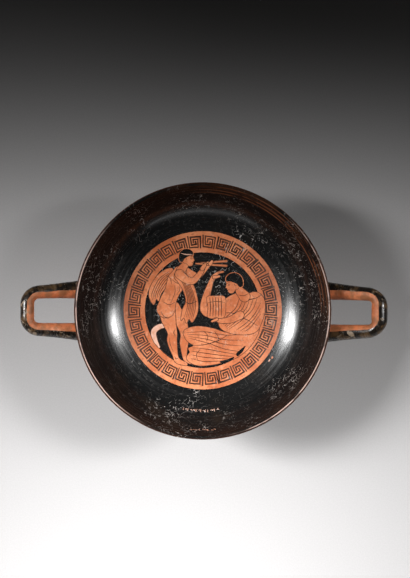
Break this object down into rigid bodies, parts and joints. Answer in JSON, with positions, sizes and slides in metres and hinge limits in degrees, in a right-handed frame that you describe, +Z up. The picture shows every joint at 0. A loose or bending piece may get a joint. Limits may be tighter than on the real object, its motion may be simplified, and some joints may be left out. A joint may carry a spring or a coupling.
{
  "type": "kylix drinking cup",
  "caption": "Wide, shallow ancient drinking cup on a stem and disc foot, with two looped handles, glossed black inside and out around a clay-coloured picture in a meander ring.",
  "frame": {"origin": "centre of the foot on the surface that the cup stands on", "axes": "+Z up the cup's axis, +X towards one handle, the picture's upper side towards +Y"},
  "size_m": [0.2864, 0.1998, 0.08],
  "materials": {
    "black_gloss": "burnished black gloss slip, fired on, worn and brown at the edges",
    "fired_clay": "smooth bare orange clay"
  },
  "bodies": {
    "root": {"kylix_cup": "black_gloss"}
  },
  "joints": []
}
